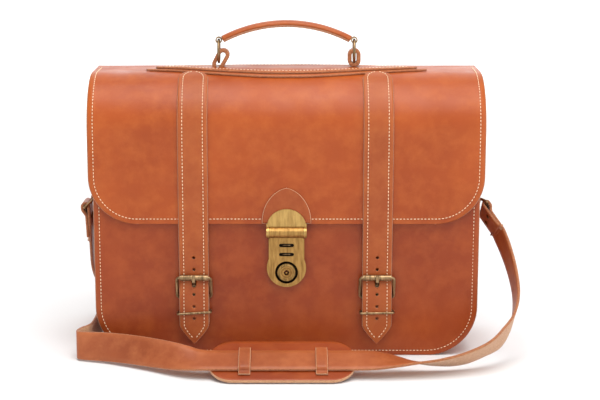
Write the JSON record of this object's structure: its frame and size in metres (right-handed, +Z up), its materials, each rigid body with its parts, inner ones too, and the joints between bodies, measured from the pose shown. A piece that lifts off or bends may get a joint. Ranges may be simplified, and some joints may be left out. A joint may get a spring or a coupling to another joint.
{
  "type": "leather satchel",
  "caption": "Brown leather satchel bag with a buckled flap, turn lock, short carrying handle and padded shoulder strap.",
  "frame": {"origin": "centre of the bag's footprint on the ground, without the shoulder strap", "axes": "+Z up; -Y out of the front, where the lock and buckles are; +X to the right seen from the front"},
  "size_m": [0.4459, 0.2548, 0.3358],
  "materials": {
    "body_leather": "smooth, lightly waxed",
    "strap_leather": "smooth grain outside, raw flesh side",
    "brass": "brushed, antiqued",
    "core": "twisted cord"
  },
  "bodies": {
    "bag": {"back_panel": "body_leather", "front_panel": "body_leather", "gusset": "body_leather", "chape_left": "strap_leather", "chape_right": "strap_leather", "chape_rivets": "brass", "side_tab_left": "strap_leather", "side_tab_right": "strap_leather", "tab_rivets": "brass", "strap_rivets": "brass", "lock_boss": "brass", "lock_nut": "brass", "shoulder_strap": "strap_leather", "strap_fold_left": "strap_leather", "strap_fold_right": "strap_leather", "shoulder_pad": "strap_leather", "pad_bridge_left": "strap_leather", "pad_bridge_right": "strap_leather"},
    "flap": {"flap_panel": "body_leather", "band_left": "strap_leather", "band_right": "strap_leather", "tail_left": "strap_leather", "tail_right": "strap_leather", "lock_patch": "strap_leather", "lock_head": "brass", "lock_pin": "brass", "handle_plate_lower": "strap_leather", "handle_plate_upper": "strap_leather", "handle_anchor_left": "strap_leather", "handle_anchor_right": "strap_leather"},
    "hasp": {"lock_hasp": "brass"},
    "bolt": {"lock_bolt": "brass"},
    "plug": {"lock_plug": "brass", "lock_clip": "brass"},
    "handle": {"handle_grip": "strap_leather", "handle_core": "core", "handle_clip_left": "brass", "handle_clip_right": "brass"},
    "frame_left": {"buckle_frame_left": "brass"},
    "prong_left": {"buckle_prong_left": "brass"},
    "roller_left": {"buckle_roller_left": "brass"},
    "keeper_left": {"keeper_left": "brass"},
    "ring_left": {"handle_ring_left": "brass"},
    "d_ring_left": {"d_ring_left": "brass"},
    "frame_right": {"buckle_frame_right": "brass"},
    "prong_right": {"buckle_prong_right": "brass"},
    "roller_right": {"buckle_roller_right": "brass"},
    "keeper_right": {"keeper_right": "brass"},
    "ring_right": {"handle_ring_right": "brass"},
    "d_ring_right": {"d_ring_right": "brass"}
  },
  "joints": [
    {"name": "flap_hinge", "type": "hinge", "parent": "bag", "child": "flap", "pos_m": [0, 0.062, 0.2806], "axis": [-1, 0, 0], "range_deg": [0, 180], "deforming": ["tail_left", "tail_right"]},
    {"name": "hasp_hinge", "type": "hinge", "parent": "flap", "child": "hasp", "pos_m": [0, -0.0569, 0.1299], "axis": [-1, 0, 0], "range_deg": [0, 130]},
    {"name": "plug_turn", "type": "hinge", "parent": "bag", "child": "plug", "pos_m": [0, -0.048, 0.0879], "axis": [0, 1, 0], "range_deg": [0, 90]},
    {"name": "bolt_slide", "type": "slide", "parent": "bag", "child": "bolt", "axis": [0, 0, -1], "range_m": [0, 0.003]},
    {"name": "handle_swing", "type": "hinge", "parent": "flap", "child": "handle", "pos_m": [0, 0.007, 0.3042], "axis": [1, 0, 0], "range_deg": [-85, 85]},
    {"name": "buckle_swing_left", "type": "hinge", "parent": "bag", "child": "frame_left", "pos_m": [-0.093, -0.0515, 0.062], "axis": [-1, 0, 0], "range_deg": [-100, 0]},
    {"name": "prong_swing_left", "type": "hinge", "parent": "frame_left", "child": "prong_left", "pos_m": [-0.093, -0.0515, 0.062], "axis": [1, 0, 0], "range_deg": [0, 100]},
    {"name": "roller_spin_left", "type": "hinge", "parent": "frame_left", "child": "roller_left", "pos_m": [-0.093, -0.0568, 0.0833], "axis": [1, 0, 0], "continuous": true},
    {"name": "keeper_slide_left", "type": "slide", "parent": "bag", "child": "keeper_left", "axis": [0, 0, 1], "range_m": [-0.015, 0.006]},
    {"name": "ring_turn_left", "type": "hinge", "parent": "flap", "child": "ring_left", "pos_m": [-0.0685, 0.007, 0.3042], "axis": [1, 0, 0], "continuous": true},
    {"name": "d_ring_swing_left", "type": "hinge", "parent": "bag", "child": "d_ring_left", "pos_m": [-0.197, 0.00677, 0.1538], "axis": [0, 0.9998, -0.02], "range_deg": [-20, 20], "deforming": ["strap_fold_left"]},
    {"name": "buckle_swing_right", "type": "hinge", "parent": "bag", "child": "frame_right", "pos_m": [0.091, -0.0515, 0.062], "axis": [-1, 0, 0], "range_deg": [-100, 0]},
    {"name": "prong_swing_right", "type": "hinge", "parent": "frame_right", "child": "prong_right", "pos_m": [0.091, -0.0515, 0.062], "axis": [1, 0, 0], "range_deg": [0, 100]},
    {"name": "roller_spin_right", "type": "hinge", "parent": "frame_right", "child": "roller_right", "pos_m": [0.091, -0.0568, 0.0833], "axis": [1, 0, 0], "continuous": true},
    {"name": "keeper_slide_right", "type": "slide", "parent": "bag", "child": "keeper_right", "axis": [0, 0, 1], "range_m": [-0.015, 0.006]},
    {"name": "ring_turn_right", "type": "hinge", "parent": "flap", "child": "ring_right", "pos_m": [0.0685, 0.007, 0.3042], "axis": [1, 0, 0], "continuous": true},
    {"name": "d_ring_swing_right", "type": "hinge", "parent": "bag", "child": "d_ring_right", "pos_m": [0.197, 0.0129, 0.14726], "axis": [0, 0.775, -0.632], "range_deg": [-20, 20], "deforming": ["strap_fold_right"]}
  ],
  "couplings": [
    {"joint": "bolt_slide", "follows": "plug_turn", "m_per_rad": 0.0019099}
  ]
}
